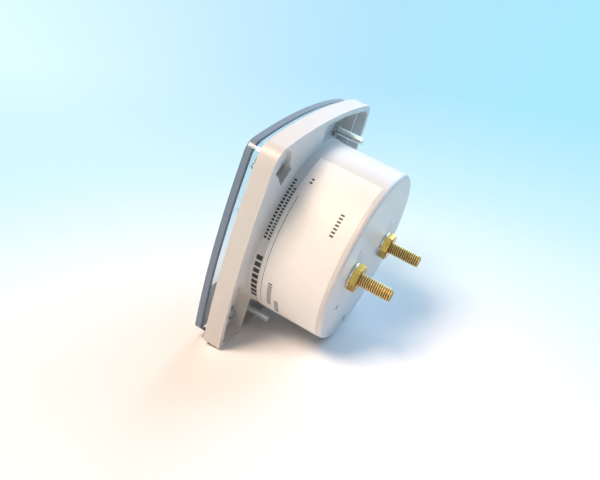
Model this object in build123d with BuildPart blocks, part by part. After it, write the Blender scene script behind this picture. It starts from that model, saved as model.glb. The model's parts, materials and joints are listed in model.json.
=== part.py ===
"""Analog panel meter: round barrel behind a bowed flange, clear front cover and a moving-coil movement.

Frame: millimetres, +Z up, the dial looks towards -Y. The origin is on the barrel's axis, in the plane
of the flange's back edge, which is the face that meets the panel.
"""

import os
from math import cos, radians, sin, sqrt

from build123d import *

os.makedirs("parts", exist_ok=True)

# Driving dimensions: flange and barrel
flange_side_margin = 6.0
flange_end_margin = 6.3
side_bow = 3.0
top_bow = 3.3
flange_t = 6.4
top_corner_r = 6.5
bottom_corner_r = 2.6
barrel_d = 66.0
barrel_len = 29.3
barrel_wall = 2.0
rear_wall = 2.5
rear_rim_r = 1.5

# Pockets in the flange's back
pocket_depth = 4.5
pocket_rim = 2.0
pocket_rib = 1.5
middle_line = 5.0
side_pocket_z = 12.0
root_step = 0.4

# Clear cover
cover_inset = 1.8
cover_bottom_inset = 2.4
cover_depth = 5.7
cover_wall = 1.5
cover_edge_r = 0.5
hook_inset = 10.0
hook_w = 6.0
hook_t = 2.0
hook_lip = 1.0
hook_lip_len = 1.6
hook_play = 0.4
hook_gap = 0.8

# Movement: where the pivots are, and the swing of the pointer
pivot_z = -13.0
swing = 90.0
stop_margin = 5.0
stop_reach = 30.0
stop_d = 1.2
stop_len = 1.6

# Movement: magnet system
core_r = 6.2
core_len = 11.0
yoke_in_r = 9.4
yoke_out_r = 13.0
yoke_len = 12.0
yoke_front = -2.5
spacer_angle = 22.0

# Movement: coil
coil_w = 5.0
coil_gap = 0.55
coil_end_gap = 1.1
former_t = 0.35
winding_t = 1.4
winding_margin = 0.4
winding_round = 0.8

# Movement: pivots, bridges and springs
staff_d = 1.0
cone_out = 0.25
cone_in = 0.35
pivot_foot_d = 3.0
pivot_foot_t = 0.3
bridge_t = 0.8
bridge_w = 6.0
bridge_front = -9.0
pillar_d = 3.2
pillar_reach = 11.2
jewel_d = 2.6
jewel_head_d = 4.6
jewel_head_t = 0.3
jewel_dimple = 0.5
jewel_mouth_r = 0.6
jewel_reach = 0.3
rear_jewel_out = 1.0
rear_jewel_slot = 0.5
spring_in_r = 1.0
spring_out_r = 5.2
spring_turns = 3.5
spring_t = 0.14
spring_w = 0.4
front_spring_y = -6.1
rear_spring_y = 13.6
rear_bridge_y = 15.2
base_t = 2.0
base_bar_w = 8.0
base_gap = 1.9

# Dial, pointer and pointer plane
dial_t = 0.5
dial_inset = 5.0
dial_bottom = -20.0
dial_window_r = 13.6
dial_screw_in = 2.6
dial_screw_z = -4.0
pointer_len = 37.0
pointer_t = 0.3
pointer_gap = 0.4
pointer_root_w = 1.3
pointer_tip_w = 0.4
tail_len = 6.0
arm_len = 5.2
arm_w = 0.7
hub_d = 3.4
weight_d = 1.3
weight_len = 1.8

# Zero adjuster
adjust_up = 10.6
adjust_eccentric = 1.2
adjust_head_d = 6.4
adjust_head_t = 1.1
adjust_proud = 0.3
adjust_body_d = 4.0
adjust_lip_d = 4.7
adjust_pin_d = 1.0
adjust_slot_w = 1.0
adjust_slot_depth = 0.7
adjust_lip_t = 0.4
adjust_pin_past = 0.1
lever_t = 0.5
lever_arm_w = 2.4
lever_leg_reach = 7.6
lever_leg_w = 1.6
lever_eye_wall = 1.5
lever_past_pin = 1.2
fork_depth = 0.8
fork_play = 0.06
mask_t = 0.5
mask_top = -17.5
mask_dome_r = 9.5

# Terminals and shunt
terminal_x = 15.5
terminal_d = 4.9
terminal_out = 15.3
terminal_collar_d = 5.6
terminal_core_d = 4.2
terminal_chamfer = 0.5
terminal_head_af = 8.0
terminal_head_t = 2.8
washer_d = 10.2
washer_t = 0.8
nut_af = 9.0
nut_t = 2.7
shunt_t = 1.0
shunt_w = 10.0
shunt_edge_in = 1.5
lead_w = 1.6
lead_t = 0.4
lead_bend_r = 1.4
lead_bend_share = 0.4

# Mounting studs, on one diagonal of the flange
stud_angle = 60.0
nut_to_root = 0.88
stud_d = 2.9
stud_collar_d = 3.5
stud_core_d = 2.4
stud_chamfer = 0.3
stud_out = 7.2
stud_head_d = 6.0
stud_head_t = 1.0
stud_nut_af = 4.5
stud_nut_t = 1.2

# Small screws
small_screw_d = 2.0
small_head_d = 3.6
small_head_t = 0.9
base_screw_d = 3.0
base_head_d = 5.4
base_head_t = 1.8
driver_slot_w = 0.6
nut_turning = 0.35
nut_taper = -60
dial_screw_len = 3.6
dial_hole_len = 4.0
bridge_screw_bite = 4.0
pillar_hole_len = 4.4
rear_screw_bite = 2.6
rear_hole_len = 3.0
base_screw_len = 9.0
base_hole_len = 8.0

# Label
label_t = 0.12
label_front = 3.4
label_rear = 27.0
label_top_angle = 72.0
label_bottom_angle = -62.0

# Clearances
running = 0.05
loose = 0.2
seat = 0.02

# Worked out from the driving dimensions
barrel_r = barrel_d / 2
flange_w = barrel_d + 2 * flange_side_margin
flange_h = barrel_d + 2 * flange_end_margin
hook_x = flange_w / 2 - hook_inset
hook_z = flange_h / 2 - hook_inset
window_w = hook_w + 2 * hook_play
window_t = hook_t + hook_lip + 2 * hook_play
recess_t = window_t + hook_lip + hook_gap - hook_play
corner_line = hook_x - hook_play - (window_w + window_t + hook_lip) / (2 * sqrt(2))
root_r = barrel_r + root_step
bore_r = barrel_r - barrel_wall
rear_inside = barrel_len - rear_wall
flange_front = -flange_t
pocket_floor = -pocket_depth
cover_front = flange_front - cover_depth
cover_inside = cover_front + cover_wall
dial_face = flange_front - dial_t
dial_screw_x = flange_w / 2 + side_bow - dial_inset - dial_screw_in
pointer_back = dial_face - pointer_gap
core_front = yoke_front + (yoke_len - core_len) / 2
core_rear = core_front + core_len
yoke_rear = yoke_front + yoke_len
base_rear = yoke_rear + base_t
base_reach = sqrt(bore_r**2 - (base_bar_w / 2 - pivot_z) ** 2)
base_screw_x = base_reach - base_bar_w / 2 - base_gap
former_in_r = core_r + coil_gap
former_out_r = former_in_r + former_t
winding_out_r = former_out_r + winding_t
coil_front_in = core_front - coil_end_gap
coil_rear_in = core_rear + coil_end_gap
coil_front = coil_front_in - former_t - winding_t
coil_rear = coil_rear_in + former_t + winding_t
bridge_back = bridge_front + bridge_t
jewel_end = bridge_back + jewel_reach
mask_back = cover_inside + mask_t
lever_front = bridge_front - lever_t
adjust_z = adjust_up - flange_h / 2
adjust_reach = pivot_z - adjust_z
stud_ring_r = root_r + stud_nut_af / sqrt(3) + nut_to_root
stud_x = stud_ring_r * cos(radians(stud_angle))
stud_z = stud_ring_r * sin(radians(stud_angle))
rest_angle = radians(swing / 2)


def facing(depth, z=0.0):
    """Plane at a depth along Y, drawn as seen from the front: X right, Z up, normal towards -Y."""
    return Plane(origin=(0, depth, z), x_dir=(1, 0, 0), z_dir=(0, -1, 0))


def swinging(depth):
    """Plane on the pivot's axis, turned so that its own Y runs along the pointer at zero."""
    right = (cos(rest_angle), 0, sin(rest_angle))
    return Plane(origin=(0, depth, pivot_z), x_dir=right, z_dir=(0, -1, 0))


def flange_face(inset, bottom_inset, mode=Mode.ADD):
    """Face of the flange's outline: straight bottom, bowed sides and top, drawn in by an inset."""
    half_w = flange_w / 2 - inset
    top = flange_h / 2 - inset
    bottom = bottom_inset - flange_h / 2
    with BuildLine() as outline:
        Line((-half_w, bottom), (half_w, bottom))
        ThreePointArc((half_w, bottom), (half_w + side_bow, 0), (half_w, top))
        ThreePointArc((half_w, top), (0, top + top_bow), (-half_w, top))
        ThreePointArc((-half_w, top), (-half_w - side_bow, 0), (-half_w, bottom))
    face = make_face(outline.edges(), mode=Mode.PRIVATE)
    corners = face.vertices().group_by(Axis.Y)
    face = face.face().fillet_2d(max(top_corner_r - inset, 1.0), corners[-1])
    corners = face.vertices().group_by(Axis.Y)
    face = face.fillet_2d(max(bottom_corner_r - inset / 2, 1.0), corners[0])
    add(face, mode=mode)


def hook_places(outward):
    """Places of the four snap legs, each turned to look along its diagonal and moved outwards."""
    shift = outward / sqrt(2)
    corners = [(1, 1, 45), (-1, 1, 135), (-1, -1, 225), (1, -1, 315)]
    return [Location((a * (hook_x + shift), b * (hook_z + shift)), turn) for a, b, turn in corners]


def both_ways(x, z):
    """The two places on one diagonal: far-side top and near-side bottom."""
    return [(-x, z), (x, -z)]


def keep(part, name):
    """Label a finished piece and write it."""
    part.label = name
    export_step(part, f"parts/{name}.step")


# Housing: flange, barrel and inner bosses in one moulding
with BuildPart() as housing:
    with BuildSketch(facing(0)):
        flange_face(0, 0)
    extrude(amount=flange_t)
    with BuildSketch(facing(barrel_len)):
        Circle(barrel_r)
    extrude(amount=barrel_len + pocket_depth)
    rear_edge = edges().filter_by(GeomType.CIRCLE).group_by(Axis.Y)[-1]
    fillet(rear_edge, radius=rear_rim_r)
    # Pockets beside the barrel: one in the middle and one in a side corner, and the same turned half round
    for turn in (0, 180):
        with BuildSketch(facing(0)):
            flange_face(pocket_rim, pocket_rim)
            with Locations(Rotation(0, 0, turn) * Pos(middle_line / 2 - corner_line / 2, flange_h / 2)):
                Rectangle(corner_line + middle_line - pocket_rib, flange_h, mode=Mode.INTERSECT)
            Circle(root_r, mode=Mode.SUBTRACT)
        extrude(amount=pocket_depth, mode=Mode.SUBTRACT)
        with BuildSketch(facing(0)):
            flange_face(pocket_rim, pocket_rim)
            with Locations(Rotation(0, 0, turn) * Pos(-corner_line - flange_w / 2, side_pocket_z + flange_h / 2)):
                Rectangle(flange_w, flange_h, mode=Mode.INTERSECT)
            Circle(root_r, mode=Mode.SUBTRACT)
        extrude(amount=pocket_depth, mode=Mode.SUBTRACT)
    # Windows for the cover's snap legs, in recesses where no pocket gives room to their lips
    with BuildSketch(facing(0)):
        with Locations(*hook_places((hook_gap - hook_play) / 2)[::2]):
            Rectangle(recess_t, window_w)
    extrude(amount=pocket_depth, mode=Mode.SUBTRACT)
    with BuildSketch(facing(0)):
        with Locations(*hook_places(-hook_lip / 2)):
            Rectangle(window_t, window_w)
    extrude(amount=flange_t, mode=Mode.SUBTRACT)
    # Bore
    with BuildSketch(facing(rear_inside)):
        Circle(bore_r)
    extrude(amount=rear_inside + flange_t, mode=Mode.SUBTRACT)
    # Bosses that carry the movement
    with BuildSketch(facing(rear_inside, pivot_z)):
        with Locations((-base_screw_x, 0), (base_screw_x, 0)):
            Circle(base_bar_w / 2)
    extrude(amount=rear_inside - base_rear)
    with BuildSketch(facing(base_rear + base_hole_len, pivot_z)):
        with Locations((-base_screw_x, 0), (base_screw_x, 0)):
            Circle(base_screw_d / 2 + running)
    extrude(amount=base_hole_len, mode=Mode.SUBTRACT)
    # Holes: terminals, mounting studs with recessed heads, dial screws
    with BuildSketch(facing(barrel_len)):
        with Locations((-terminal_x, 0), (terminal_x, 0)):
            Circle(terminal_collar_d / 2 + running)
    extrude(amount=rear_wall, mode=Mode.SUBTRACT)
    with BuildSketch(facing(pocket_floor)):
        with Locations(*both_ways(stud_x, stud_z)):
            Circle(stud_collar_d / 2 + running)
    extrude(amount=flange_t - pocket_depth, mode=Mode.SUBTRACT)
    with BuildSketch(facing(flange_front + stud_head_t)):
        with Locations(*both_ways(stud_x, stud_z)):
            Circle(stud_head_d / 2 + running)
    extrude(amount=stud_head_t, mode=Mode.SUBTRACT)
    with BuildSketch(facing(flange_front + dial_hole_len)):
        with Locations((-dial_screw_x, dial_screw_z), (dial_screw_x, dial_screw_z)):
            Circle(small_screw_d / 2 + running)
    extrude(amount=dial_hole_len, mode=Mode.SUBTRACT)
keep(housing.part, "housing")


# Front cover: clear shell with four snap legs that reach through the flange
adjust_sink = adjust_head_t - adjust_proud
lip_front = pocket_floor + seat
lip_back = lip_front + hook_lip_len

with BuildPart() as front_cover:
    with BuildSketch(facing(flange_front)):
        flange_face(cover_inset, cover_bottom_inset)
    extrude(amount=cover_depth)
    fillet(faces().sort_by(Axis.Y)[0].edges(), radius=cover_edge_r)
    with BuildSketch(facing(flange_front)):
        flange_face(cover_inset + cover_wall, cover_bottom_inset + cover_wall)
    extrude(amount=cover_depth - cover_wall, mode=Mode.SUBTRACT)
    with BuildSketch(facing(cover_inside, adjust_z)):
        Circle(adjust_body_d / 2 + running)
    extrude(amount=cover_wall, mode=Mode.SUBTRACT)
    with BuildSketch(facing(cover_front + adjust_sink, adjust_z)):
        Circle(adjust_head_d / 2 + loose)
    extrude(amount=adjust_sink, mode=Mode.SUBTRACT)
    with BuildSketch(facing(lip_back)):
        with Locations(*hook_places(0)):
            Rectangle(hook_t, hook_w)
    extrude(amount=lip_back - cover_inside)
    with BuildSketch(facing(lip_back)):
        with Locations(*hook_places((hook_t + hook_lip) / 2)):
            Rectangle(hook_lip, hook_w)
    extrude(amount=hook_lip_len)
keep(front_cover.part, "front_cover")


# Dial plate, with a window for the movement and holes for the cover's legs
with BuildPart() as dial_plate:
    with BuildSketch(facing(flange_front)):
        flange_face(dial_inset, dial_bottom + flange_h / 2)
        with Locations((0, pivot_z)):
            Circle(dial_window_r, mode=Mode.SUBTRACT)
        with Locations((0, pivot_z - dial_window_r)):
            Rectangle(2 * dial_window_r, 2 * dial_window_r, mode=Mode.SUBTRACT)
        with Locations(*hook_places(0)):
            Rectangle(hook_t + 2 * hook_play, window_w, mode=Mode.SUBTRACT)
        with Locations((-dial_screw_x, dial_screw_z), (dial_screw_x, dial_screw_z)):
            Circle(small_screw_d / 2 + loose, mode=Mode.SUBTRACT)
    extrude(amount=dial_t)
keep(dial_plate.part, "dial_plate")


def slotted_screws(places, seat_y, head, head_len, shank, shank_len):
    """Screws with slotted round heads: the heads' seats lie at seat_y, the heads look towards -Y."""
    with BuildPart() as screws:
        with BuildSketch(facing(seat_y + shank_len)):
            with Locations(*places):
                Circle(shank / 2)
        extrude(amount=shank_len)
        with BuildSketch(facing(seat_y)):
            with Locations(*places):
                Circle(head / 2)
        extrude(amount=head_len)
        with BuildSketch(facing(seat_y - head_len / 2)):
            with Locations(*places):
                Rectangle(head, driver_slot_w)
        extrude(amount=head_len / 2, mode=Mode.SUBTRACT)
    return screws.part


def hex_nuts(places, seat_y, across_flats, thickness, hole_r):
    """Hexagon nuts seated at seat_y and standing out towards +Y, with their corners turned off."""
    corner_r = across_flats / sqrt(3)
    turned_off = corner_r - across_flats / 2
    with BuildPart() as nuts:
        with BuildSketch(facing(seat_y + thickness)):
            with Locations(*places):
                RegularPolygon(corner_r, 6)
        extrude(amount=thickness)
        with BuildSketch(facing(seat_y + thickness)):
            with Locations(*places):
                Circle(across_flats / 2 + turned_off)
                Circle(across_flats / 2, mode=Mode.SUBTRACT)
        extrude(amount=turned_off * nut_turning, taper=nut_taper, mode=Mode.SUBTRACT)
        with BuildSketch(facing(seat_y + thickness)):
            with Locations(*places):
                Circle(hole_r)
        extrude(amount=thickness, mode=Mode.SUBTRACT)
    return nuts.part


dial_screw_places = [(-dial_screw_x, dial_screw_z), (dial_screw_x, dial_screw_z)]
dial_screws = slotted_screws(
    dial_screw_places, dial_face, small_head_d, small_head_t, small_screw_d, dial_screw_len
)
keep(dial_screws, "dial_screws")


# Pointer stops, pinned in the dial
with BuildPart() as pointer_stops:
    stop_angles = (swing / 2 + stop_margin, -swing / 2 - stop_margin)
    with BuildSketch(facing(dial_face, pivot_z)):
        for angle in stop_angles:
            with Locations((stop_reach * sin(radians(angle)), stop_reach * cos(radians(angle)))):
                Circle(stop_d / 2)
    extrude(amount=stop_len)
keep(pointer_stops.part, "pointer_stops")


# Lower mask: opaque plate behind the cover that hides the movement
with BuildPart() as lower_mask:
    with BuildSketch(facing(mask_back)):
        flange_face(cover_inset + cover_wall + loose, cover_bottom_inset + cover_wall + loose)
        with Locations((0, mask_top + flange_h)):
            Rectangle(2 * flange_w, 2 * flange_h, mode=Mode.SUBTRACT)
        with Locations((0, pivot_z)):
            Circle(mask_dome_r)
        with Locations(*hook_places(0)):
            Rectangle(hook_t + 2 * hook_play, window_w, mode=Mode.SUBTRACT)
        with Locations((0, adjust_z)):
            Circle(adjust_body_d / 2 + running, mode=Mode.SUBTRACT)
    extrude(amount=mask_t)
keep(lower_mask.part, "lower_mask")


# Zero adjuster: slotted head in the cover, snap lip behind the mask, eccentric pin
adjust_end = mask_back + adjust_lip_t
adjust_pin_end = bridge_front + adjust_pin_past
with BuildPart() as zero_adjuster:
    with BuildSketch(facing(cover_front + adjust_sink, adjust_z)):
        Circle(adjust_head_d / 2)
    extrude(amount=adjust_head_t)
    with BuildSketch(facing(adjust_end, adjust_z)):
        Circle(adjust_body_d / 2)
    extrude(amount=adjust_end - cover_front - adjust_sink)
    with BuildSketch(facing(adjust_end, adjust_z)):
        Circle(adjust_lip_d / 2)
    extrude(amount=adjust_end - mask_back - seat)
    with BuildSketch(facing(adjust_pin_end, adjust_z)):
        with Locations((0, adjust_eccentric)):
            Circle(adjust_pin_d / 2)
    extrude(amount=adjust_pin_end - adjust_end)
    with BuildSketch(facing(cover_front - adjust_proud + adjust_slot_depth, adjust_z)):
        Rectangle(adjust_head_d, adjust_slot_w)
    extrude(amount=adjust_slot_depth, mode=Mode.SUBTRACT)
keep(zero_adjuster.part, "zero_adjuster")


# Zero lever: turns on the front jewel screw, forked round the adjuster's pin, holds the spring's end
pin_drop = adjust_reach - adjust_eccentric
lever_end = pin_drop + lever_past_pin
with BuildPart() as zero_lever:
    with BuildSketch(facing(bridge_front, pivot_z)):
        Circle(jewel_d / 2 + lever_eye_wall)
        with Locations((0, -lever_end / 2)):
            Rectangle(lever_arm_w, lever_end)
        Circle(jewel_d / 2 + running, mode=Mode.SUBTRACT)
        with Locations((0, -lever_end)):
            Rectangle(adjust_pin_d + 2 * fork_play, 2 * (lever_past_pin + fork_depth), mode=Mode.SUBTRACT)
    extrude(amount=lever_t)
    with BuildSketch(facing(front_spring_y, pivot_z)):
        with Locations((0, -lever_leg_reach)):
            Rectangle(lever_leg_w, lever_t)
    extrude(amount=front_spring_y - bridge_front)
keep(zero_lever.part, "zero_lever")


# Bridges: front bar on two pillars, rear bar with an anchor for the rear spring
pillar_places = [(-pillar_reach, 0), (pillar_reach, 0)]


def bridge_bar(rear_y, anchor_to):
    """Bar across the pivots with three holes; an anchor leg reaches forward to anchor_to if given."""
    with BuildPart() as bar:
        with BuildSketch(facing(rear_y, pivot_z)):
            SlotCenterToCenter(2 * pillar_reach, bridge_w)
            if anchor_to is not None:
                with Locations((0, -lever_leg_reach / 2)):
                    Rectangle(lever_leg_w, lever_leg_reach + lever_t)
            Circle(jewel_d / 2 + seat, mode=Mode.SUBTRACT)
            with Locations(*pillar_places):
                Circle(small_screw_d / 2 + running, mode=Mode.SUBTRACT)
        extrude(amount=bridge_t)
        if anchor_to is not None:
            with BuildSketch(facing(rear_y, pivot_z)):
                with Locations((0, -lever_leg_reach)):
                    Rectangle(lever_leg_w, lever_t)
            extrude(amount=rear_y - anchor_to)
    return bar.part


def pillars(rear_y, front_y, hole_from_front, hole_depth):
    """Two round pillars between two depths, each with a screw hole in one end."""
    with BuildPart() as posts:
        with BuildSketch(facing(rear_y, pivot_z)):
            with Locations(*pillar_places):
                Circle(pillar_d / 2)
        extrude(amount=rear_y - front_y)
        with BuildSketch(facing(front_y + hole_depth if hole_from_front else rear_y, pivot_z)):
            with Locations(*pillar_places):
                Circle(small_screw_d / 2 + running)
        extrude(amount=hole_depth, mode=Mode.SUBTRACT)
    return posts.part


rear_bridge_back = rear_bridge_y + bridge_t
pillar_screws = [(x, pivot_z + z) for x, z in pillar_places]
keep(bridge_bar(bridge_back, None), "front_bridge")
keep(bridge_bar(rear_bridge_back, rear_spring_y - spring_w), "rear_bridge")
keep(pillars(yoke_front, bridge_back, True, pillar_hole_len), "front_pillars")
keep(pillars(rear_bridge_y, base_rear, False, rear_hole_len), "rear_pillars")
front_screws = slotted_screws(
    pillar_screws, bridge_front, small_head_d, small_head_t, small_screw_d, bridge_t + bridge_screw_bite
)
keep(front_screws, "front_bridge_screws")
rear_screws = mirror(
    slotted_screws(pillar_screws, 0, small_head_d, small_head_t, small_screw_d, bridge_t + rear_screw_bite),
    about=Plane.XZ,
)
keep(Pos(0, rear_bridge_back, 0) * rear_screws, "rear_bridge_screws")


# Jewel screws: a slotted screw with a dimple for the pivot's tip
def jewel_profile(tip_y, back_y, way):
    """Half section of a jewel screw turned about the pivot's axis; way is +1 if the tip looks to +Y."""
    with BuildPart() as screw:
        with BuildSketch(Plane(origin=(0, 0, pivot_z), x_dir=(1, 0, 0), z_dir=(0, 0, 1))):
            with BuildLine():
                Polyline(
                    (0, tip_y - way * jewel_dimple),
                    (jewel_mouth_r, tip_y),
                    (jewel_d / 2, tip_y),
                    (jewel_d / 2, back_y),
                    (0, back_y),
                    close=True,
                )
            make_face()
        revolve(axis=Axis((0, 0, pivot_z), (0, 1, 0)))
    return screw.part


with BuildPart() as front_jewel_screw:
    add(jewel_profile(jewel_end, lever_front, 1))
    with BuildSketch(facing(lever_front, pivot_z)):
        Circle(jewel_head_d / 2)
    extrude(amount=jewel_head_t)
    with BuildSketch(facing(lever_front, pivot_z)):
        Rectangle(jewel_head_d, driver_slot_w)
    extrude(amount=jewel_head_t, mode=Mode.SUBTRACT)
keep(front_jewel_screw.part, "front_jewel_screw")

rear_jewel_tip = rear_bridge_y - jewel_reach
rear_jewel_back = rear_bridge_back + rear_jewel_out
with BuildPart() as rear_jewel_screw:
    add(jewel_profile(rear_jewel_tip, rear_jewel_back, -1))
    with BuildSketch(facing(rear_jewel_back, pivot_z)):
        Rectangle(jewel_d, driver_slot_w)
    extrude(amount=rear_jewel_slot, mode=Mode.SUBTRACT)
keep(rear_jewel_screw.part, "rear_jewel_screw")


# Magnet system: core magnet held in the yoke ring by two brass spacers, on the base plate
with BuildPart() as core_magnet:
    with BuildSketch(facing(core_rear, pivot_z)):
        Circle(core_r)
    extrude(amount=core_len)
keep(core_magnet.part, "core_magnet")

with BuildPart() as yoke_ring:
    with BuildSketch(facing(yoke_rear, pivot_z)):
        Circle(yoke_out_r)
        Circle(yoke_in_r, mode=Mode.SUBTRACT)
    extrude(amount=yoke_len)
keep(yoke_ring.part, "yoke_ring")

with BuildPart() as core_spacers:
    half_spread = yoke_in_r * sin(radians(spacer_angle / 2))
    with BuildSketch(facing(core_rear, pivot_z)):
        Circle(yoke_in_r - seat)
        Rectangle(2 * half_spread, 2 * yoke_in_r, mode=Mode.INTERSECT)
        Circle(core_r + seat, mode=Mode.SUBTRACT)
    extrude(amount=core_len)
keep(core_spacers.part, "core_spacers")

with BuildPart() as base_plate:
    with BuildSketch(facing(base_rear, pivot_z)):
        SlotCenterToCenter(2 * base_screw_x, base_bar_w)
        Circle(yoke_out_r)
        Circle(yoke_in_r, mode=Mode.SUBTRACT)
        with Locations((-base_screw_x, 0), (base_screw_x, 0)):
            Circle(base_screw_d / 2 + loose / 2, mode=Mode.SUBTRACT)
    extrude(amount=base_t)
keep(base_plate.part, "base_plate")

base_screw_places = [(-base_screw_x, pivot_z), (base_screw_x, pivot_z)]
base_screws = slotted_screws(
    base_screw_places, yoke_rear, base_head_d, base_head_t, base_screw_d, base_screw_len
)
keep(base_screws, "base_screws")


# Moving coil: aluminium former, copper winding, two pivots
with BuildPart() as coil_former:
    with BuildSketch(swinging(coil_rear_in + former_t)):
        Rectangle(2 * former_out_r, coil_w)
    extrude(amount=coil_rear_in - coil_front_in + 2 * former_t)
    with BuildSketch(swinging(coil_rear_in)):
        Rectangle(2 * former_in_r, 2 * coil_w)
    extrude(amount=coil_rear_in - coil_front_in, mode=Mode.SUBTRACT)
keep(coil_former.part, "coil_former")

winding_w = coil_w - 2 * winding_margin
with BuildPart() as coil_winding:
    with BuildSketch(swinging(coil_rear)):
        Rectangle(2 * winding_out_r, winding_w)
    extrude(amount=coil_rear - coil_front)
    across = Axis((0, 0, 0), (-sin(rest_angle), 0, cos(rest_angle)))
    fillet(edges().filter_by(across), radius=winding_t * winding_round)
    with BuildSketch(swinging(coil_rear_in + former_t)):
        Rectangle(2 * former_out_r, 2 * coil_w)
    extrude(amount=coil_rear_in - coil_front_in + 2 * former_t, mode=Mode.SUBTRACT)
keep(coil_winding.part, "coil_winding")


def pivot(foot_y, tip_mouth_y, spring_y, way):
    """Pivot turned about the coil's axis: foot on the coil, staff with the spring's collar, pointed tip.

    way is -1 for the front pivot and +1 for the rear one.
    """
    collar_r = spring_in_r - spring_t / 2
    foot_top = foot_y + way * pivot_foot_t
    shoulder = tip_mouth_y - way * cone_out
    tip = tip_mouth_y + way * cone_in
    near, far = sorted((spring_y - spring_w, spring_y), key=lambda y: way * y)
    with BuildPart() as turned:
        with BuildSketch(Plane(origin=(0, 0, pivot_z), x_dir=(1, 0, 0), z_dir=(0, 0, 1))):
            with BuildLine():
                Polyline(
                    (0, foot_y),
                    (pivot_foot_d / 2, foot_y),
                    (pivot_foot_d / 2, foot_top),
                    (staff_d / 2, foot_top),
                    (staff_d / 2, near),
                    (collar_r, near),
                    (collar_r, far),
                    (staff_d / 2, far),
                    (staff_d / 2, shoulder),
                    (0, tip),
                    close=True,
                )
            make_face()
        revolve(axis=Axis((0, 0, pivot_z), (0, 1, 0)))
    return turned.part


keep(pivot(coil_front, jewel_end, front_spring_y, -1), "front_pivot")
keep(pivot(coil_rear, rear_jewel_tip, rear_spring_y, 1), "rear_pivot")


# Hairsprings: flat spirals of half-circle turns, fixed to the collar inside and to an anchor outside
def hairspring(rear_y):
    """Spiral strip from the collar out to the anchor below the pivot."""
    halves = round(2 * spring_turns)
    step = (spring_out_r - spring_in_r) / halves
    with BuildPart() as spring:
        with BuildSketch(facing(rear_y, pivot_z)):
            with BuildLine():
                for side in (-spring_t / 2, spring_t / 2):
                    for k in range(halves):
                        way = 1 if k % 2 == 0 else -1
                        start = way * (spring_in_r + k * step + side)
                        end = -way * (spring_in_r + (k + 1) * step + side)
                        middle = (start + end) / 2
                        ThreePointArc((0, start), (way * abs(start - end) / 2, middle), (0, end))
                Line((0, spring_in_r - spring_t / 2), (0, spring_in_r + spring_t / 2))
                last = -(spring_out_r - spring_t / 2), -(spring_out_r + spring_t / 2)
                Line((0, last[0]), (0, last[1]))
            make_face()
            with Locations((0, -(spring_out_r + lever_leg_reach - lever_t / 2) / 2)):
                Rectangle(spring_t * 2, lever_leg_reach - lever_t / 2 - spring_out_r)
        extrude(amount=spring_w)
    return spring.part


keep(hairspring(front_spring_y), "front_hairspring")
keep(hairspring(rear_spring_y), "rear_hairspring")


# Pointer with tail and side arms, and the weights that balance it
pointer_mid = pointer_back - pointer_t / 2
with BuildPart() as pointer:
    with BuildSketch(swinging(pointer_back)):
        with BuildLine():
            Polyline(
                (-pointer_root_w / 2, 0),
                (pointer_root_w / 2, 0),
                (pointer_tip_w / 2, pointer_len),
                (-pointer_tip_w / 2, pointer_len),
                close=True,
            )
        make_face()
        Circle(hub_d / 2)
        Rectangle(2 * arm_len, arm_w)
        with Locations((0, -tail_len / 2)):
            Rectangle(arm_w, tail_len)
        Circle(staff_d / 2 + seat, mode=Mode.SUBTRACT)
    extrude(amount=pointer_t)
keep(pointer.part, "pointer")

with BuildPart() as balance_weights:
    with Locations(swinging(pointer_mid)):
        side = arm_len - weight_len / 2
        down = tail_len - weight_len / 2
        with Locations((-side, 0, 0), (side, 0, 0)):
            Cylinder(weight_d / 2, weight_len, rotation=(0, 90, 0))
            Box(weight_len, arm_w, pointer_t, mode=Mode.SUBTRACT)
        with Locations((0, -down, 0)):
            Cylinder(weight_d / 2, weight_len, rotation=(90, 0, 0))
            Box(arm_w, weight_len, pointer_t, mode=Mode.SUBTRACT)
keep(balance_weights.part, "balance_weights")


# Terminals: stud with a collar in the rear wall, thread drawn at core size under washer and nut, shunt inside
shunt_face = rear_inside - shunt_t
terminal_places = [(-terminal_x, 0), (terminal_x, 0)]
terminal_end = barrel_len + terminal_out
terminal_nut_end = barrel_len + washer_t + nut_t
for side_name, x in (("left", -terminal_x), ("right", terminal_x)):
    with BuildPart() as terminal_stud:
        with BuildSketch(facing(terminal_end)):
            with Locations((x, 0)):
                Circle(terminal_d / 2)
        extrude(amount=terminal_end - terminal_nut_end)
        chamfer(faces().sort_by(Axis.Y)[-1].edges(), length=terminal_chamfer)
        with BuildSketch(facing(terminal_nut_end)):
            with Locations((x, 0)):
                Circle(terminal_core_d / 2)
        extrude(amount=terminal_nut_end - barrel_len)
        with BuildSketch(facing(barrel_len)):
            with Locations((x, 0)):
                Circle(terminal_collar_d / 2)
        extrude(amount=barrel_len - shunt_face)
        with BuildSketch(facing(shunt_face)):
            with Locations((x, 0)):
                RegularPolygon(terminal_head_af / sqrt(3), 6)
        extrude(amount=terminal_head_t)
    keep(terminal_stud.part, f"terminal_stud_{side_name}")

with BuildPart() as terminal_washers:
    with BuildSketch(facing(barrel_len + washer_t)):
        with Locations(*terminal_places):
            Circle(washer_d / 2)
            Circle(terminal_d / 2 + loose, mode=Mode.SUBTRACT)
    extrude(amount=washer_t)
keep(terminal_washers.part, "terminal_washers")
terminal_nuts = hex_nuts(terminal_places, barrel_len + washer_t, nut_af, nut_t, terminal_core_d / 2 + running)
keep(terminal_nuts, "terminal_nuts")

with BuildPart() as shunt:
    with BuildSketch(facing(rear_inside)):
        SlotCenterToCenter(2 * terminal_x, shunt_w)
        with Locations(*terminal_places):
            Circle(terminal_collar_d / 2 + running, mode=Mode.SUBTRACT)
        Rectangle(terminal_x, shunt_w / 3, mode=Mode.SUBTRACT)
    extrude(amount=shunt_t)
keep(shunt.part, "shunt")


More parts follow.
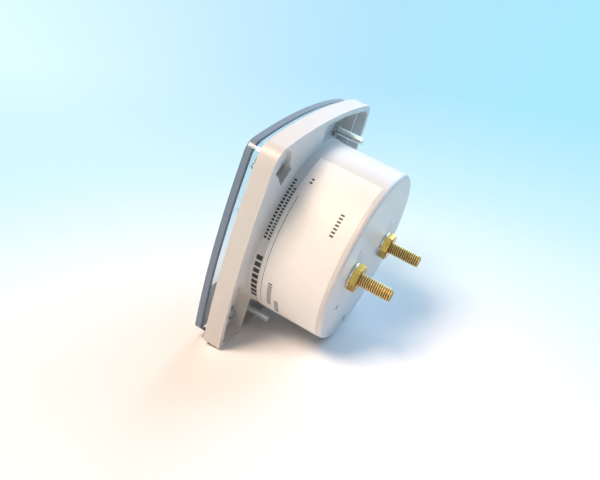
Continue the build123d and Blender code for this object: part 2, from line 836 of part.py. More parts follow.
# Inner leads: bent strips from the shunt to the base plate and to the rear bridge
def lead(x, from_z, to_y, to_z):
    """Flat strip from the shunt's face at height from_z to a face at depth to_y, height to_z."""
    middle = (shunt_face + to_y) / 2
    bend = min(lead_bend_r, abs(shunt_face - to_y) * lead_bend_share)
    with BuildPart() as strip:
        with BuildSketch(Plane(origin=(x - lead_w / 2, 0, 0), x_dir=(0, 1, 0), z_dir=(1, 0, 0))):
            with BuildLine() as route:
                FilletPolyline(
                    (shunt_face, from_z),
                    (middle, from_z),
                    (middle, to_z),
                    (to_y, to_z),
                    radius=bend,
                )
            trace(route.line, line_width=lead_t)
        extrude(amount=lead_w)
    return strip.part


shunt_edge = shunt_w / 2 - shunt_edge_in
keep(lead(-pillar_reach, -shunt_edge, base_rear, pivot_z + small_head_d), "lead_to_base")
keep(lead(pillar_reach / 2, -shunt_edge, rear_bridge_back, pivot_z), "lead_to_bridge")


# Mounting studs: flat head under the dial, collar in the flange, core size under a thin nut in the pocket
stud_places = both_ways(stud_x, stud_z)
stud_nut_end = pocket_floor + stud_nut_t
with BuildPart() as mounting_studs:
    with BuildSketch(facing(stud_out)):
        with Locations(*stud_places):
            Circle(stud_d / 2)
    extrude(amount=stud_out - stud_nut_end)
    chamfer(faces().group_by(Axis.Y)[-1].edges(), length=stud_chamfer)
    with BuildSketch(facing(stud_nut_end)):
        with Locations(*stud_places):
            Circle(stud_core_d / 2)
    extrude(amount=stud_nut_t)
    with BuildSketch(facing(pocket_floor)):
        with Locations(*stud_places):
            Circle(stud_collar_d / 2)
    extrude(amount=flange_t - pocket_depth)
    with BuildSketch(facing(flange_front + stud_head_t)):
        with Locations(*stud_places):
            Circle(stud_head_d / 2)
    extrude(amount=stud_head_t)
keep(mounting_studs.part, "mounting_studs")
keep(hex_nuts(stud_places, pocket_floor, stud_nut_af, stud_nut_t, stud_core_d / 2 + running), "stud_nuts")


# Label wrapped round the near side of the barrel
with BuildPart() as rating_label:
    with BuildSketch(facing(label_rear)):
        Circle(barrel_r + label_t)
        Circle(barrel_r, mode=Mode.SUBTRACT)
        reach = 2 * barrel_r
        with BuildLine():
            Polyline(
                (0, 0),
                (reach * cos(radians(label_bottom_angle)), reach * sin(radians(label_bottom_angle))),
                (reach, 0),
                (reach * cos(radians(label_top_angle)), reach * sin(radians(label_top_angle))),
                close=True,
            )
        make_face(mode=Mode.INTERSECT)
    extrude(amount=label_rear - label_front)
keep(rating_label.part, "rating_label")
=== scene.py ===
"""Dress an analog panel meter: threaded studs, eased edges, label, dial print, finishes and a plain stage.

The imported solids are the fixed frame. Everything here is in metres, in the same frame: the dial looks
towards -Y, the barrel runs along +Y and +Z is up on the dial.
"""

import json
import math

import bmesh
import bpy
from mathutils import Matrix, Vector

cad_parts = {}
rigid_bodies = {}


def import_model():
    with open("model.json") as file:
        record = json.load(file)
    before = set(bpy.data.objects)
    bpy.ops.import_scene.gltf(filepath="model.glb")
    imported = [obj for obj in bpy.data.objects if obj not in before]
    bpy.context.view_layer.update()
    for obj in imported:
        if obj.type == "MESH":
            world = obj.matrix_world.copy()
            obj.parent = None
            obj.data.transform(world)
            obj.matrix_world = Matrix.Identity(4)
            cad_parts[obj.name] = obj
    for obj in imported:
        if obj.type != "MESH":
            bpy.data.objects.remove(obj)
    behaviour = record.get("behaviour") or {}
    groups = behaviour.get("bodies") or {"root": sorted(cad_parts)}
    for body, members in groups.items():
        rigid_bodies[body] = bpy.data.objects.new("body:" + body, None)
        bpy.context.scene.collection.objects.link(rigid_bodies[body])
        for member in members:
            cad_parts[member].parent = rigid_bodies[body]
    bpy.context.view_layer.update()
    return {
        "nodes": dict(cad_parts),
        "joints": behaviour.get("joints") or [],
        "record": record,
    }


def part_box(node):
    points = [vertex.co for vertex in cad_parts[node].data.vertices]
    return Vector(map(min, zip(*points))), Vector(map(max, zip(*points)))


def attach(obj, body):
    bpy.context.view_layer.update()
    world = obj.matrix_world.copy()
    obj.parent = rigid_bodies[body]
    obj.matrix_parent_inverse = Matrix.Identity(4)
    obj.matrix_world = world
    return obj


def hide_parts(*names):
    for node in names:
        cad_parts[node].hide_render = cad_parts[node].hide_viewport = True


bl_info = {
    "name": "Panel Meter Dresser",
    "version": (1, 0, 0),
    "blender": (4, 5, 0),
    "location": "3D Viewport > Sidebar > Meter",
    "description": "Builds the visual model of an analog panel meter on its packed solids",
    "category": "Object",
}

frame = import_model()

MM = 0.001

# Distances in metres at which a cut or a turn joins vertices, and at which loose ones are welded
MERGE = 0.000001
WELD = 0.000002

# How far a new thread starts below the face that it comes out of, in metres
SEAM = 0.00002

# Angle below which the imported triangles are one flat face, and above which an edge is eased
FLAT_ANGLE = math.radians(0.6)
EDGE_ANGLE = math.radians(40)

# Refraction of clear acrylic
ACRYLIC_IOR = 1.49


def size_of(name):
    """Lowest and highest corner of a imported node, in metres."""
    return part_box(name)


def linear(code):
    """Turn an sRGB hex code into linear red, green, blue and full alpha."""
    parts = [int(code[k : k + 2], 16) / 255 for k in (1, 3, 5)]
    return [p / 12.92 if p <= 0.04045 else ((p + 0.055) / 1.055) ** 2.4 for p in parts] + [1.0]


# Sizes and colours that a user would change


class MeterSizes(bpy.types.PropertyGroup):
    """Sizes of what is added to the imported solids."""

    terminal_pitch: bpy.props.FloatProperty(
        name="Terminal Pitch", description="Thread pitch of the terminal studs", default=0.0008, unit="LENGTH"
    )
    terminal_root: bpy.props.FloatProperty(
        name="Terminal Root", description="Root radius of the terminal thread", default=0.00198, unit="LENGTH"
    )
    stud_pitch: bpy.props.FloatProperty(
        name="Stud Pitch", description="Thread pitch of the mounting studs", default=0.0005, unit="LENGTH"
    )
    stud_root: bpy.props.FloatProperty(
        name="Stud Root",
        description="Root radius of the mounting studs' thread",
        default=0.00114,
        unit="LENGTH",
    )
    case_edge: bpy.props.FloatProperty(
        name="Case Edge", description="Radius of the moulding's eased edges", default=0.00022, unit="LENGTH"
    )
    nut_edge: bpy.props.FloatProperty(
        name="Nut Edge", description="Width of the nuts' broken edges", default=0.00012, unit="LENGTH"
    )
    print_lift: bpy.props.FloatProperty(
        name="Print Lift", description="Height of printed ink over its ground", default=0.00002, unit="LENGTH"
    )
    # Depth of the slate band painted on the cover's front edge, painted shade for the clear edge's dark look
    rim_depth: bpy.props.FloatProperty(
        name="Rim Depth", description="Depth of the cover's dark front edge", default=0.0027, unit="LENGTH"
    )
    grain: bpy.props.FloatProperty(
        name="Moulded Grain",
        description="Size of the mould's spark-eroded grain",
        default=0.00035,
        unit="LENGTH",
    )


class MeterColours(bpy.types.PropertyGroup):
    """Colours of the finishes."""

    case: bpy.props.FloatVectorProperty(
        name="Case", description="White moulding", subtype="COLOR", size=4, default=linear("#DEDAD6")
    )
    label: bpy.props.FloatVectorProperty(
        name="Label", description="Coated paper label", subtype="COLOR", size=4, default=linear("#FBF7F3")
    )
    ink: bpy.props.FloatVectorProperty(
        name="Ink",
        description="Print on the label and the dial",
        subtype="COLOR",
        size=4,
        default=linear("#33353A"),
    )
    brass: bpy.props.FloatVectorProperty(
        name="Brass", description="Bright brass", subtype="COLOR", size=4, default=linear("#DDB25E")
    )
    zinc: bpy.props.FloatVectorProperty(
        name="Zinc", description="Zinc plating", subtype="COLOR", size=4, default=linear("#C9C8C4")
    )
    # Slate grey painted on the cover's deep front edge: painted shade for the clear edge's dark look
    rim: bpy.props.FloatVectorProperty(
        name="Cover Rim",
        description="Deep edge of the clear cover",
        subtype="COLOR",
        size=4,
        default=linear("#7C8CA3"),
    )


# Modelling helpers


def clear_selection():
    """Leave every object unselected and out of edit mode."""
    if bpy.context.object and bpy.context.object.mode != "OBJECT":
        bpy.ops.object.mode_set(mode="OBJECT")
    bpy.ops.object.select_all(action="DESELECT")


def activate(piece):
    """Select one piece alone and make it active."""
    clear_selection()
    piece.select_set(True)
    bpy.context.view_layer.objects.active = piece


def edit(piece):
    """Enter edit mode on a piece with all of its mesh selected."""
    activate(piece)
    bpy.ops.object.mode_set(mode="EDIT")
    bpy.ops.mesh.select_all(action="SELECT")


def start_piece(name):
    """Begin a piece from a plane whose faces are deleted at once, at the origin and in edit mode."""
    clear_selection()
    bpy.ops.mesh.primitive_plane_add(size=MM, location=(0, 0, 0))
    piece = bpy.context.object
    piece.name = name
    piece.data.name = name
    edit(piece)
    bpy.ops.mesh.delete(type="VERT")
    return piece


def draw_line(points):
    """Add an open line through the points to the mesh in edit mode, and leave it selected."""
    bpy.ops.mesh.select_mode(type="VERT")
    bpy.ops.mesh.select_all(action="DESELECT")
    bpy.ops.mesh.primitive_circle_add(vertices=3, radius=MM, location=(0, 0, 0))
    bpy.ops.mesh.merge(type="CENTER")
    bpy.ops.transform.translate(value=points[0])
    for start, end in zip(points, points[1:]):
        step = Vector(end) - Vector(start)
        bpy.ops.mesh.extrude_vertices_move(TRANSFORM_OT_translate={"value": step})
    bpy.ops.mesh.select_linked()


def select_where(piece, test):
    """Select the vertices whose place passes the test, in edit mode."""
    bpy.ops.mesh.select_mode(type="VERT")
    grid = bmesh.from_edit_mesh(piece.data)
    for v in grid.verts:
        v.select = test(v.co)
    grid.select_flush_mode()
    bmesh.update_edit_mesh(piece.data)


def close_piece():
    """Turn every face outwards and leave edit mode."""
    bpy.ops.mesh.select_all(action="SELECT")
    bpy.ops.mesh.normals_make_consistent(inside=False)
    bpy.ops.object.mode_set(mode="OBJECT")


def split_wide_faces():
    """Cut the faces of more than four sides into triangles, in edit mode."""
    bpy.ops.mesh.select_all(action="DESELECT")
    bpy.ops.mesh.select_face_by_sides(number=4, type="GREATER")
    bpy.ops.mesh.quads_convert_to_tris(quad_method="BEAUTY", ngon_method="BEAUTY")


def cut_across(depth, **dropped):
    """Cut the mesh in edit mode at a depth, drop one side and close the cut."""
    plane = {"plane_co": (0, depth, 0), "plane_no": (0, 1, 0)}
    bpy.ops.mesh.select_all(action="SELECT")
    bpy.ops.mesh.bisect(use_fill=True, threshold=MERGE, **plane, **dropped)


def apply_modifiers(piece):
    """Apply every modifier of a piece in order."""
    activate(piece)
    for name in [m.name for m in piece.modifiers]:
        bpy.ops.object.modifier_apply(modifier=name)


def finish_piece(piece, body, slot, material, *stands_for, angle=35):
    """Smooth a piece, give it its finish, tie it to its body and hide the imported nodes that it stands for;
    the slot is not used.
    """
    activate(piece)
    bpy.ops.object.transform_apply(location=True, rotation=True, scale=True)
    piece.data.materials.clear()
    piece.data.materials.append(material)
    bpy.ops.object.shade_smooth_by_angle(angle=math.radians(angle))
    flat = piece.modifiers.new("flat faces", "WEIGHTED_NORMAL")
    flat.keep_sharp = True
    apply_modifiers(piece)
    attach(piece, body)
    if stands_for:
        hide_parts(*stands_for)


def merged_copy(node_name, name):
    """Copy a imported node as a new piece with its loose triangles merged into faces."""
    piece = bpy.data.objects.new(name, frame["nodes"][node_name].data.copy())
    bpy.context.scene.collection.objects.link(piece)
    edit(piece)
    bpy.ops.mesh.customdata_custom_splitnormals_clear()
    bpy.ops.mesh.remove_doubles(threshold=WELD)
    bpy.ops.mesh.dissolve_limited(angle_limit=FLAT_ANGLE)
    split_wide_faces()
    bpy.ops.object.mode_set(mode="OBJECT")
    return piece


def ease_edges(piece, width):
    """Round the sharp edges of a piece by a narrow bevel."""
    bevel = piece.modifiers.new("edges", "BEVEL")
    bevel.width = width
    bevel.segments = 2
    bevel.limit_method = "ANGLE"
    bevel.angle_limit = EDGE_ANGLE
    bevel.use_clamp_overlap = True
    bevel.miter_outer = "MITER_ARC"
    apply_modifiers(piece)


# One ridge of a thread, as its place in pitches before the foot and whether it is on the crest
RIDGE = ((1.0, False), (0.88, False), (0.56, True), (0.44, True), (0.12, False), (0.0, False))

# A thread's chamfered tip: where each step starts, in pitches from the end, and how far it draws in
TIP_STEPS = (0.55, 0.2)
TIP_SHRINK = (0.92, 1, 0.92)


def threaded_rod(name, crest, root, pitch, low, high, steps):
    """Model a threaded rod on the Y axis between two depths, with its tip chamfered."""
    rod = start_piece(name)
    draw_line([(crest if on_crest else root, low - pitch * share, 0) for share, on_crest in RIDGE])
    bpy.ops.object.mode_set(mode="OBJECT")
    turns = rod.modifiers.new("thread", "SCREW")
    turns.axis = "Y"
    turns.angle = 2 * math.pi
    turns.screw_offset = pitch
    turns.iterations = math.ceil((high - low) / pitch) + 2
    turns.steps = steps
    turns.render_steps = steps
    turns.use_merge_vertices = True
    turns.merge_threshold = MERGE
    apply_modifiers(rod)
    edit(rod)
    bpy.ops.mesh.remove_doubles(threshold=WELD)
    cut_across(low, clear_inner=True)
    cut_across(high, clear_outer=True)
    for share in TIP_STEPS:
        select_where(rod, lambda co: co.y > high - pitch * share)
        bpy.ops.transform.resize(value=TIP_SHRINK, center_override=(0, high, 0))
    close_piece()
    return rod


def mark_relief(piece, places, root, crest):
    """Store how high each vertex stands between a thread's root and its crest, for the finish."""
    held = piece.data.attributes.new("relief", "FLOAT", "POINT")
    for vertex, value in zip(piece.data.vertices, held.data):
        radius = min(math.hypot(vertex.co.x - x, vertex.co.z - z) for x, z in places)
        value.value = min(1.0, max(0.0, (radius - root) / (crest - root)))


def copies_at(piece, places):
    """Copy a piece to each place with its own mesh, and join them in one piece."""
    made = []
    name = piece.name
    for x, z in places:
        twin = piece.copy()
        twin.data = piece.data.copy()
        bpy.context.scene.collection.objects.link(twin)
        twin.location = (x, 0, z)
        made.append(twin)
    bpy.data.objects.remove(piece)
    made[0].name = name
    clear_selection()
    for twin in made:
        twin.select_set(True)
    bpy.context.view_layer.objects.active = made[0]
    bpy.ops.object.transform_apply(location=True, rotation=True, scale=True)
    if len(made) > 1:
        bpy.ops.object.join()
    return made[0]


def join_into(piece, other):
    """Join another object into a piece."""
    clear_selection()
    other.select_set(True)
    piece.select_set(True)
    bpy.context.view_layer.objects.active = piece
    bpy.ops.object.join()


def trimmed_copy(node_name, name, depth):
    """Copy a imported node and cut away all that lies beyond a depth, closing the cut."""
    piece = merged_copy(node_name, name)
    edit(piece)
    cut_across(depth, clear_outer=True)
    bpy.ops.object.mode_set(mode="OBJECT")
    return piece


def cut_pocket(piece, outline, depth, corner):
    """Cut a pocket into the flange's back, at Y 0, from its outline in mm and its corners' radius."""
    cutter = start_piece("cutter")
    draw_line([(x * MM, depth, z * MM) for x, z in outline])
    bpy.ops.mesh.edge_face_add()
    bpy.ops.mesh.bevel(offset=corner, segments=4, affect="VERTICES")
    bpy.ops.mesh.select_all(action="SELECT")
    bpy.ops.mesh.extrude_region_move(TRANSFORM_OT_translate={"value": (0, -2 * depth, 0)})
    close_piece()
    cut = piece.modifiers.new("pocket", "BOOLEAN")
    cut.operation = "DIFFERENCE"
    cut.solver = "EXACT"
    cut.object = cutter
    apply_modifiers(piece)
    bpy.data.objects.remove(cutter)
    edit(piece)
    bpy.ops.mesh.remove_doubles(threshold=WELD)
    split_wide_faces()
    bpy.ops.object.mode_set(mode="OBJECT")


# Finishes


def node(tree, kind, inputs=None, **settings):
    """Add a shader node with its settings, and its inputs as values or as links from other nodes."""
    made = tree.nodes.new(kind)
    for name, value in settings.items():
        setattr(made, name, value)
    for name, value in (inputs or {}).items():
        if isinstance(value, bpy.types.NodeSocket):
            tree.links.new(value, made.inputs[name])
        else:
            made.inputs[name].default_value = value
    return made


def new_finish(name, **inputs):
    """Start a material: its tree, its shader and Object coordinates."""
    material = bpy.data.materials.new(name)
    material.use_nodes = True
    tree = material.node_tree
    shader = tree.nodes["Principled BSDF"]
    for key, value in inputs.items():
        shader.inputs[key.replace("_", " ")].default_value = value
    place = node(tree, "ShaderNodeTexCoord").outputs["Object"]
    return material, tree, shader, place


def vary_colour(tree, shader, place, colour, other, size, detail=3.0):
    """Let a colour drift between two tones over patches of a real size in metres, and give their value."""
    noise = node(tree, "ShaderNodeTexNoise", {"Vector": place, "Scale": 1 / size, "Detail": detail})
    ramp = node(tree, "ShaderNodeValToRGB", {"Fac": noise.outputs["Fac"]})
    ramp.color_ramp.elements[0].position = 0.35
    ramp.color_ramp.elements[1].position = 0.65
    ramp.color_ramp.elements[0].color = colour
    ramp.color_ramp.elements[1].color = other
    tree.links.new(ramp.outputs["Color"], shader.inputs["Base Color"])
    return noise.outputs["Fac"]


def bumped(tree, shader, height, depth, strength=1.0):
    """Drive a shader's normal from a height, with its depth in metres."""
    bump = node(tree, "ShaderNodeBump", {"Height": height, "Distance": depth, "Strength": strength})
    tree.links.new(bump.outputs["Normal"], shader.inputs["Normal"])


def rough_from(tree, shader, value, low, high):
    """Let roughness follow a value between two limits."""
    span = node(tree, "ShaderNodeMapRange", {"Value": value, "To Min": low, "To Max": high})
    tree.links.new(span.outputs["Result"], shader.inputs["Roughness"])


def tone(colour, share):
    """A colour made lighter or darker by a share."""
    return [min(1.0, c * share) for c in colour[:3]] + [1.0]


def facing_y(tree):
    """How far the surface faces towards +Y, from -1 to 1."""
    surface = node(tree, "ShaderNodeNewGeometry")
    facing = node(tree, "ShaderNodeSeparateXYZ", {"Vector": surface.outputs["True Normal"]})
    return facing.outputs["Y"]


def seen_straight(tree):
    """1 for what the camera sees directly, mirrored or through glass, and 0 for light on the meter."""
    path = node(tree, "ShaderNodeLightPath").outputs
    camera, gloss, glass = (path[f"Is {kind} Ray"] for kind in ("Camera", "Glossy", "Transmission"))
    first = node(tree, "ShaderNodeMath", {0: camera, 1: gloss}, operation="MAXIMUM")
    both = node(tree, "ShaderNodeMath", {0: first.outputs[0], 1: glass}, operation="MAXIMUM")
    return both.outputs[0]


def moulded_abs(colour, grain):
    """ABS, injection moulded: white and slightly glossy, with a faint eroded grain and soft highlights."""
    material, tree, shader, place = new_finish("moulded white ABS", IOR=1.53)
    vary_colour(tree, shader, place, list(colour), tone(colour, 0.975), 0.012)
    fine = node(tree, "ShaderNodeTexNoise", {"Vector": place, "Scale": 1 / grain, "Detail": 2.0})
    rough_from(tree, shader, fine.outputs["Fac"], 0.30, 0.46)
    bumped(tree, shader, fine.outputs["Fac"], 0.000012, 0.35)
    return material


def clear_acrylic(colour, low_y, rim_depth, side_x, side_z, leg_y):
    """Acrylic, polished: clear, with a deep front edge painted slate grey between two dark lines, painted
    shade for the dark look of the clear edge.

    The painted edge lies within its depth from low_y and outside side_x or side_z. Behind leg_y are the snap
    legs, which stand in the case's shade, so their colour is darkened with painted shade, and they are hazy
    and throw no glint.
    """
    material, tree, shader, place = new_finish("polished acrylic", IOR=ACRYLIC_IOR, Transmission_Weight=1.0)
    deep = node(tree, "ShaderNodeSeparateXYZ", {"Vector": place}).outputs

    leg = node(tree, "ShaderNodeMath", {0: deep["Y"], 1: leg_y}, operation="GREATER_THAN")
    # The snap legs' grey green is painted shade of the case around them
    painted_leg_shade = node(tree, "ShaderNodeMix", {"Factor": leg.outputs[0]}, data_type="RGBA")
    painted_leg_shade.inputs[6].default_value = linear("#F4FAFF")
    painted_leg_shade.inputs[7].default_value = linear("#8C9C98")
    tree.links.new(painted_leg_shade.outputs[2], shader.inputs["Base Color"])
    rough_from(tree, shader, leg.outputs[0], 0.03, 0.55)

    # The slate band and its dark lines at both ends are painted shade of the clear edge
    rim_y = low_y + rim_depth
    span = node(tree, "ShaderNodeMapRange", {"Value": deep["Y"], "From Min": low_y, "From Max": rim_y})
    painted_edge_shade = node(tree, "ShaderNodeValToRGB", {"Fac": span.outputs["Result"]})
    points = painted_edge_shade.color_ramp.elements
    points[0].color = points[1].color = tone(colour, 0.45)
    points.new(0.2).color = list(colour)
    points.new(0.8).color = list(colour)
    edge = node(
        tree,
        "ShaderNodeBsdfPrincipled",
        {"Base Color": painted_edge_shade.outputs["Color"], "Roughness": 0.18, "IOR": ACRYLIC_IOR},
    )

    front = node(tree, "ShaderNodeMath", {0: deep["Y"], 1: rim_y}, operation="LESS_THAN")
    flat = node(tree, "ShaderNodeMath", {0: facing_y(tree)}, operation="ABSOLUTE")
    side = node(tree, "ShaderNodeMath", {0: flat.outputs[0], 1: 0.6}, operation="LESS_THAN")
    far_x = node(tree, "ShaderNodeMath", {0: deep["X"]}, operation="ABSOLUTE")
    out_x = node(tree, "ShaderNodeMath", {0: far_x.outputs[0], 1: side_x}, operation="GREATER_THAN")
    far_z = node(tree, "ShaderNodeMath", {0: deep["Z"]}, operation="ABSOLUTE")
    out_z = node(tree, "ShaderNodeMath", {0: far_z.outputs[0], 1: side_z}, operation="GREATER_THAN")
    outer = node(tree, "ShaderNodeMath", {0: out_x.outputs[0], 1: out_z.outputs[0]}, operation="MAXIMUM")
    on_side = node(tree, "ShaderNodeMath", {0: front.outputs[0], 1: side.outputs[0]}, operation="MULTIPLY")
    on_painted_rim = node(tree, "ShaderNodeMath", {0: on_side.outputs[0], 1: outer.outputs[0]}, operation="MULTIPLY")
    mix = node(
        tree,
        "ShaderNodeMixShader",
        {"Fac": on_painted_rim.outputs[0], 1: shader.outputs["BSDF"], 2: edge.outputs["BSDF"]},
    )
    tree.links.new(mix.outputs[0], tree.nodes["Material Output"].inputs["Surface"])
    return material


def painted_mask(paint, moulding):
    """Thin moulded plate, painted matt black on the face that looks out and left pale behind."""
    material, tree, shader, place = new_finish("painted mask", Roughness=0.55)
    painted = node(tree, "ShaderNodeMath", {0: facing_y(tree), 1: -0.5}, operation="LESS_THAN")
    mix = node(tree, "ShaderNodeMix", {"Factor": painted.outputs[0]}, data_type="RGBA")
    mix.inputs[6].default_value = moulding
    mix.inputs[7].default_value = paint
    tree.links.new(mix.outputs[2], shader.inputs["Base Color"])
    fine = node(tree, "ShaderNodeTexNoise", {"Vector": place, "Scale": 1 / 0.0003, "Detail": 2.0})
    bumped(tree, shader, fine.outputs["Fac"], 0.00001, 0.5)
    return material


def bright_brass(colour):
    """Brass, turned and lightly tarnished: golden, with fine turning lines and darker patches."""
    material, tree, shader, place = new_finish("turned brass", Metallic=1.0)
    vary_colour(tree, shader, place, list(colour), tone(colour, 0.78), 0.0022, 4.0)
    lines = node(tree, "ShaderNodeTexNoise", {"Vector": place, "Scale": 1 / 0.0006, "Detail": 3.0})
    rough_from(tree, shader, lines.outputs["Fac"], 0.16, 0.34)
    bumped(tree, shader, lines.outputs["Fac"], 0.00001, 0.4)
    return material


def plated_steel(name, colour, low, high, patch):
    """Steel, plated or ground: grey metal whose roughness shifts over small patches."""
    material, tree, shader, place = new_finish(name, Metallic=1.0)
    patches = vary_colour(tree, shader, place, list(colour), tone(colour, 0.86), patch)
    rough_from(tree, shader, patches, low, high)
    return material


def threaded_metal(name, crest, root, film):
    """Thread, rolled and handled: bright rubbed crests over roots darkened with painted shade of the grooves.
    """
    material, tree, shader, place = new_finish(name, Metallic=1.0)
    relief = node(tree, "ShaderNodeAttribute", attribute_name="relief")
    # Colour by height on the thread: the darker roots are painted shade in the grooves
    ramp = node(tree, "ShaderNodeValToRGB", {"Fac": relief.outputs["Fac"]})
    ramp.color_ramp.elements[0].position = 0.1
    ramp.color_ramp.elements[1].position = 0.75
    ramp.color_ramp.elements[0].color = root
    ramp.color_ramp.elements[1].color = crest
    patch = node(tree, "ShaderNodeTexNoise", {"Vector": place, "Scale": 1 / 0.0015, "Detail": 3.0})
    patch = patch.outputs["Fac"]
    worn = node(tree, "ShaderNodeMix", {"Factor": patch}, data_type="RGBA", blend_type="MULTIPLY")
    tree.links.new(ramp.outputs["Color"], worn.inputs[6])
    worn.inputs[7].default_value = film
    tree.links.new(worn.outputs[2], shader.inputs["Base Color"])
    rough_from(tree, shader, relief.outputs["Fac"], 0.5, 0.3)
    return material


def coated_paper(colour):
    """Coated paper: bright, smooth and slightly shiny, with a barely seen fibre."""
    material, tree, shader, place = new_finish("coated paper", IOR=1.45)
    vary_colour(tree, shader, place, list(colour), tone(colour, 0.985), 0.004)
    fibre = node(tree, "ShaderNodeTexNoise", {"Vector": place, "Scale": 1 / 0.0004, "Detail": 4.0})
    rough_from(tree, shader, fibre.outputs["Fac"], 0.36, 0.5)
    bumped(tree, shader, fibre.outputs["Fac"], 0.000006, 0.3)
    return material


def plain_coat(name, colour, low, high, grain, depth):
    """Paint, ink, rubber or wire enamel: one tone with a fine grain that breaks the gloss."""
    material, tree, shader, place = new_finish(name)
    vary_colour(tree, shader, place, list(colour), tone(colour, 0.95), grain * 12)
    fine = node(tree, "ShaderNodeTexNoise", {"Vector": place, "Scale": 1 / grain, "Detail": 2.0})
    rough_from(tree, shader, fine.outputs["Fac"], low, high)
    bumped(tree, shader, fine.outputs["Fac"], depth, 0.5)
    return material


def wound_copper():
    """Enamelled copper wire, wound: reddish metal with a line for each turn, 0.15 mm apart."""
    copper = linear("#B8683C")
    material, tree, shader, place = new_finish("wound copper wire", Metallic=1.0, Base_Color=copper)
    turns = node(
        tree, "ShaderNodeTexWave", {"Vector": place, "Scale": 1 / 0.003}, bands_direction="DIAGONAL"
    )
    rough_from(tree, shader, turns.outputs["Fac"], 0.25, 0.4)
    bumped(tree, shader, turns.outputs["Fac"], 0.00005, 0.8)
    return material


# Coats: the slot, the material, its colour, its lowest and highest roughness, and its grain's size
# and depth in metres
COATS = (
    ("dial_white", "dial enamel", "#FAFAF6", 0.45, 0.6, 0.0002, 0.000004),
    ("adjuster_black", "satin black plastic", "#1E1F22", 0.35, 0.5, 0.0002, 0.000006),
    ("stop_rubber", "black rubber", "#1B1B1C", 0.7, 0.85, 0.0002, 0.00001),
    ("pointer_black", "pointer paint", "#17181B", 0.4, 0.55, 0.0001, 0.000003),
)

# Metals: the slot, the material, its colour, its lowest and highest roughness, and its patches' size
# in metres
METALS = (
    ("bare_steel", "ground steel", "#A9A9AB", 0.25, 0.45, 0.002),
    ("aluminium", "satin aluminium", "#CDCFD2", 0.3, 0.42, 0.0015),
    ("spring_bronze", "spring bronze", "#C08E4E", 0.2, 0.35, 0.001),
    ("manganin", "manganin strip", "#B99B78", 0.3, 0.45, 0.002),
)

# How far in from the cover's box its painted dark edge begins, at the bowed sides and at the foot; the dark
# edge is painted shade
RIM_IN_X = 5.0 * MM
RIM_IN_Z = 1.2 * MM


def make_finishes(colours, sizes):
    """Make every finish, and mark those that belong to a slot of the record."""
    low, high = size_of("front_cover")
    side_x = high.x - RIM_IN_X
    side_z = -low.z - RIM_IN_Z
    made = {
        "white_abs": moulded_abs(colours.case, sizes.grain),
        "clear_acrylic": clear_acrylic(
            colours.rim, low.y, sizes.rim_depth, side_x, side_z, size_of("housing")[0].y
        ),
        "mask_black": painted_mask(linear("#25272C"), linear("#E4E6E8")),
        "brass": bright_brass(colours.brass),
        "zinc_steel": plated_steel("zinc plated steel", colours.zinc, 0.18, 0.36, 0.0012),
        "copper_wire": wound_copper(),
        "label_paper": coated_paper(colours.label),
    }
    for slot, name, code, *rest in COATS:
        made[slot] = plain_coat(name, linear(code), *rest)
    for slot, name, code, *rest in METALS:
        made[slot] = plated_steel(name, linear(code), *rest)
    for slot, material in made.items():
        material["slot"] = slot
    plain_coat("printing ink", colours.ink, 0.4, 0.55, 0.0001, 0.000002)
    # Dark grey for the round mould marks: painted shade of their hollow
    plain_coat("shaded moulding", linear("#8D949E"), 0.4, 0.55, 0.0002, 0.000004)
    # Crest, root and patch colours of the threads; the darker roots are painted shade
    threaded_metal("threaded brass", linear("#FFE9B4"), linear("#A07A38"), linear("#F0E9DC"))
    threaded_metal("threaded steel", linear("#FFFFFF"), linear("#D9D9D6"), linear("#F2F2F2"))


def finishes():
    """The finish of each of the record's slots, made once."""
    if not bpy.data.materials.get("moulded white ABS"):
        make_finishes(bpy.context.scene.meter_colours, bpy.context.scene.meter_sizes)
    return {m["slot"]: m for m in bpy.data.materials if "slot" in m}


# Pieces


class METER_OT_inner_works(bpy.types.Operator):
    """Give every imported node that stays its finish, through its material slots"""

    bl_idname = "meter.inner_works"
    bl_label = "Finish the Packed Pieces"

    def execute(self, context):
        made = finishes()
        for row in frame["record"]["subparts"]:
            part = frame["nodes"][row["node"]]
            material = made[row["material_slot"]]
            if not part.material_slots:
                part.data.materials.append(material)
            for held in part.material_slots:
                held.material = material
        return {"FINISHED"}


# Shallow pocket between the near top window and the flange's corner: its outline as x and z in mm,
# its depth and the radius of its corners
CORNER_POCKET = ((30.2, 38.4), (27.4, 34.4), (33.4, 28.8), (36.9, 31.6), (36.8, 35.6), (33.9, 38.6))
POCKET_DEPTH = 1.6 * MM
POCKET_CORNER = 0.9 * MM


class METER_OT_case(bpy.types.Operator):
    """Model the housing and the clear cover with eased edges and smooth curves"""

    bl_idname = "meter.case"
    bl_label = "Case and Cover"

    def execute(self, context):
        made = finishes()
        housing = merged_copy("housing", "housing_moulding")
        cut_pocket(housing, CORNER_POCKET, POCKET_DEPTH, POCKET_CORNER)
        ease_edges(housing, context.scene.meter_sizes.case_edge)
        finish_piece(housing, "case", "white_abs", made["white_abs"], "housing")
        cover = merged_copy("front_cover", "cover_shell")
        finish_piece(cover, "case", "clear_acrylic", made["clear_acrylic"], "front_cover")
        return {"FINISHED"}


# Crest radius of each thread as packed, and the steps that its turns have in the visual model
TERMINAL_R = 2.45 * MM
TERMINAL_STEPS = 40
STUD_R = 1.45 * MM
STUD_STEPS = 28

# Radius of the mounting studs' flat heads, which give their box its width
STUD_HEAD_R = 3.0 * MM


